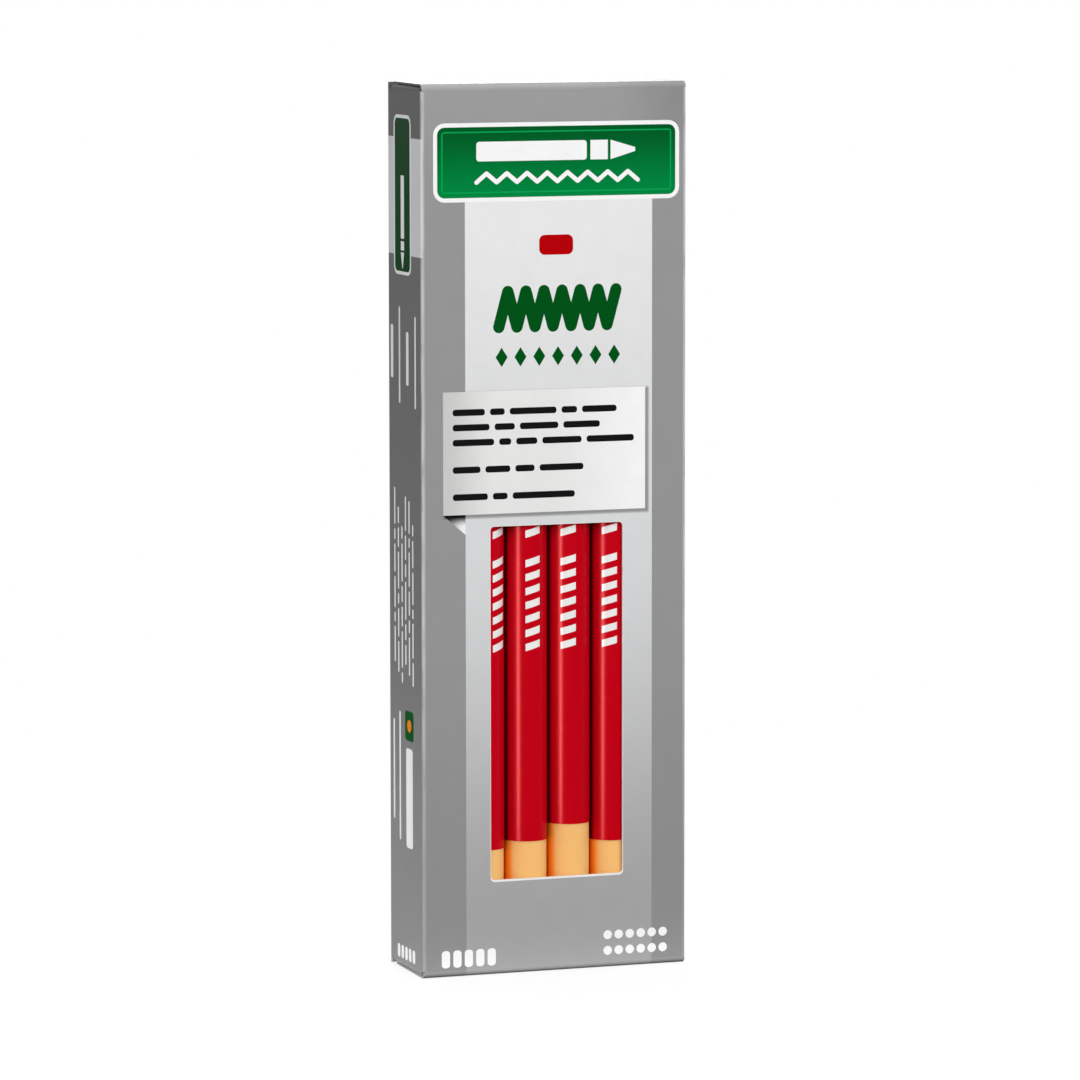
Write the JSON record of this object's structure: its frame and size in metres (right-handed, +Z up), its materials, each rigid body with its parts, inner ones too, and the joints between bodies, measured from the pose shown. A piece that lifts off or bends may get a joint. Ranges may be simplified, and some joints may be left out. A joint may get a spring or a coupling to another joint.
{
  "type": "carton of china markers",
  "caption": "Tall windowed tuck-end carton packed with red peel-off china markers; hinged lids and flaps close both ends and the markers stand loose inside.",
  "frame": {"origin": "middle of the underside of the bottom lid, on which the carton stands", "axes": "+Z up along the markers, -Y out of the window panel, +X to the right seen from the window"},
  "size_m": [0.0578, 0.0214, 0.184],
  "materials": {
    "printed_board": "solid folding boxboard, coated semi-gloss print outside, bare white inside",
    "red_wax": "waxy satin",
    "wound_paper": "matt wound tan paper",
    "red_jacket": "glossy lacquered paper",
    "pull_string": "twisted cotton"
  },
  "bodies": {
    "carton": {"carton_sleeve": "printed_board"},
    "top_lid": {"top_lid": "printed_board"},
    "top_tuck_flap": {"top_tuck_flap": "printed_board"},
    "top_dust_flap_left": {"top_dust_flap_left": "printed_board"},
    "top_dust_flap_right": {"top_dust_flap_right": "printed_board"},
    "bottom_lid": {"bottom_lid": "printed_board"},
    "bottom_tuck_flap": {"bottom_tuck_flap": "printed_board"},
    "bottom_dust_flap_left": {"bottom_dust_flap_left": "printed_board"},
    "bottom_dust_flap_right": {"bottom_dust_flap_right": "printed_board"},
    "marker_01": {"marker_01_wax_core": "red_wax", "marker_01_paper_wrapper": "wound_paper", "marker_01_colour_jacket": "red_jacket", "marker_01_pull_string": "pull_string"},
    "marker_02": {"marker_02_wax_core": "red_wax", "marker_02_paper_wrapper": "wound_paper", "marker_02_colour_jacket": "red_jacket", "marker_02_pull_string": "pull_string"},
    "marker_03": {"marker_03_wax_core": "red_wax", "marker_03_paper_wrapper": "wound_paper", "marker_03_colour_jacket": "red_jacket", "marker_03_pull_string": "pull_string"},
    "marker_04": {"marker_04_wax_core": "red_wax", "marker_04_paper_wrapper": "wound_paper", "marker_04_colour_jacket": "red_jacket", "marker_04_pull_string": "pull_string"},
    "marker_05": {"marker_05_wax_core": "red_wax", "marker_05_paper_wrapper": "wound_paper", "marker_05_colour_jacket": "red_jacket", "marker_05_pull_string": "pull_string"},
    "marker_06": {"marker_06_wax_core": "red_wax", "marker_06_paper_wrapper": "wound_paper", "marker_06_colour_jacket": "red_jacket", "marker_06_pull_string": "pull_string"},
    "marker_07": {"marker_07_wax_core": "red_wax", "marker_07_paper_wrapper": "wound_paper", "marker_07_colour_jacket": "red_jacket", "marker_07_pull_string": "pull_string"},
    "marker_08": {"marker_08_wax_core": "red_wax", "marker_08_paper_wrapper": "wound_paper", "marker_08_colour_jacket": "red_jacket", "marker_08_pull_string": "pull_string"},
    "marker_09": {"marker_09_wax_core": "red_wax", "marker_09_paper_wrapper": "wound_paper", "marker_09_colour_jacket": "red_jacket", "marker_09_pull_string": "pull_string"},
    "marker_10": {"marker_10_wax_core": "red_wax", "marker_10_paper_wrapper": "wound_paper", "marker_10_colour_jacket": "red_jacket", "marker_10_pull_string": "pull_string"},
    "marker_11": {"marker_11_wax_core": "red_wax", "marker_11_paper_wrapper": "wound_paper", "marker_11_colour_jacket": "red_jacket", "marker_11_pull_string": "pull_string"},
    "marker_12": {"marker_12_wax_core": "red_wax", "marker_12_paper_wrapper": "wound_paper", "marker_12_colour_jacket": "red_jacket", "marker_12_pull_string": "pull_string"}
  },
  "joints": [
    {"name": "top_lid_hinge", "type": "hinge", "parent": "carton", "child": "top_lid", "pos_m": [0, -0.01073, 0.1827], "axis": [1, 0, 0], "range_deg": [0, 170]},
    {"name": "top_tuck_fold", "type": "hinge", "parent": "top_lid", "child": "top_tuck_flap", "pos_m": [0, 0.00857, 0.18355], "axis": [1, 0, 0], "range_deg": [-60, 0]},
    {"name": "top_dust_left_hinge", "type": "hinge", "parent": "carton", "child": "top_dust_flap_left", "pos_m": [-0.0289, 0, 0.1826], "axis": [0, -1, 0], "range_deg": [0, 94]},
    {"name": "top_dust_right_hinge", "type": "hinge", "parent": "carton", "child": "top_dust_flap_right", "pos_m": [0.0289, 0, 0.1826], "axis": [0, 1, 0], "range_deg": [0, 94]},
    {"name": "bottom_lid_hinge", "type": "hinge", "parent": "carton", "child": "bottom_lid", "pos_m": [0, -0.01073, 0.0013], "axis": [-1, 0, 0], "range_deg": [0, 170]},
    {"name": "bottom_tuck_fold", "type": "hinge", "parent": "bottom_lid", "child": "bottom_tuck_flap", "pos_m": [0, 0.00857, 0.00045], "axis": [-1, 0, 0], "range_deg": [-60, 0]},
    {"name": "bottom_dust_left_hinge", "type": "hinge", "parent": "carton", "child": "bottom_dust_flap_left", "pos_m": [-0.0289, 0, 0.0014], "axis": [0, 1, 0], "range_deg": [0, 94]},
    {"name": "bottom_dust_right_hinge", "type": "hinge", "parent": "carton", "child": "bottom_dust_flap_right", "pos_m": [0.0289, 0, 0.0014], "axis": [0, -1, 0], "range_deg": [0, 94]},
    {"name": "marker_01_slide", "type": "slide", "parent": "carton", "child": "marker_01", "axis": [0, 0, 1], "range_m": [0, 0.0035]},
    {"name": "marker_02_slide", "type": "slide", "parent": "carton", "child": "marker_02", "axis": [0, 0, 1], "range_m": [0, 0.0035]},
    {"name": "marker_03_slide", "type": "slide", "parent": "carton", "child": "marker_03", "axis": [0, 0, 1], "range_m": [0, 0.0035]},
    {"name": "marker_04_slide", "type": "slide", "parent": "carton", "child": "marker_04", "axis": [0, 0, 1], "range_m": [0, 0.0035]},
    {"name": "marker_05_slide", "type": "slide", "parent": "carton", "child": "marker_05", "axis": [0, 0, 1], "range_m": [0, 0.0035]},
    {"name": "marker_06_slide", "type": "slide", "parent": "carton", "child": "marker_06", "axis": [0, 0, 1], "range_m": [0, 0.0035]},
    {"name": "marker_07_slide", "type": "slide", "parent": "carton", "child": "marker_07", "axis": [0, 0, 1], "range_m": [0, 0.0035]},
    {"name": "marker_08_slide", "type": "slide", "parent": "carton", "child": "marker_08", "axis": [0, 0, 1], "range_m": [0, 0.0035]},
    {"name": "marker_09_slide", "type": "slide", "parent": "carton", "child": "marker_09", "axis": [0, 0, 1], "range_m": [0, 0.0035]},
    {"name": "marker_10_slide", "type": "slide", "parent": "carton", "child": "marker_10", "axis": [0, 0, 1], "range_m": [0, 0.0035]},
    {"name": "marker_11_slide", "type": "slide", "parent": "carton", "child": "marker_11", "axis": [0, 0, 1], "range_m": [0, 0.0035]},
    {"name": "marker_12_slide", "type": "slide", "parent": "carton", "child": "marker_12", "axis": [0, 0, 1], "range_m": [0, 0.0035]}
  ],
  "couplings": [
    {"joint": "top_tuck_fold", "follows": "top_lid_hinge", "ratio": -0.35},
    {"joint": "top_dust_left_hinge", "follows": "top_lid_hinge", "ratio": 0.55},
    {"joint": "top_dust_right_hinge", "follows": "top_lid_hinge", "ratio": 0.55},
    {"joint": "bottom_tuck_fold", "follows": "bottom_lid_hinge", "ratio": -0.35},
    {"joint": "bottom_dust_left_hinge", "follows": "bottom_lid_hinge", "ratio": 0.55},
    {"joint": "bottom_dust_right_hinge", "follows": "bottom_lid_hinge", "ratio": 0.55}
  ]
}
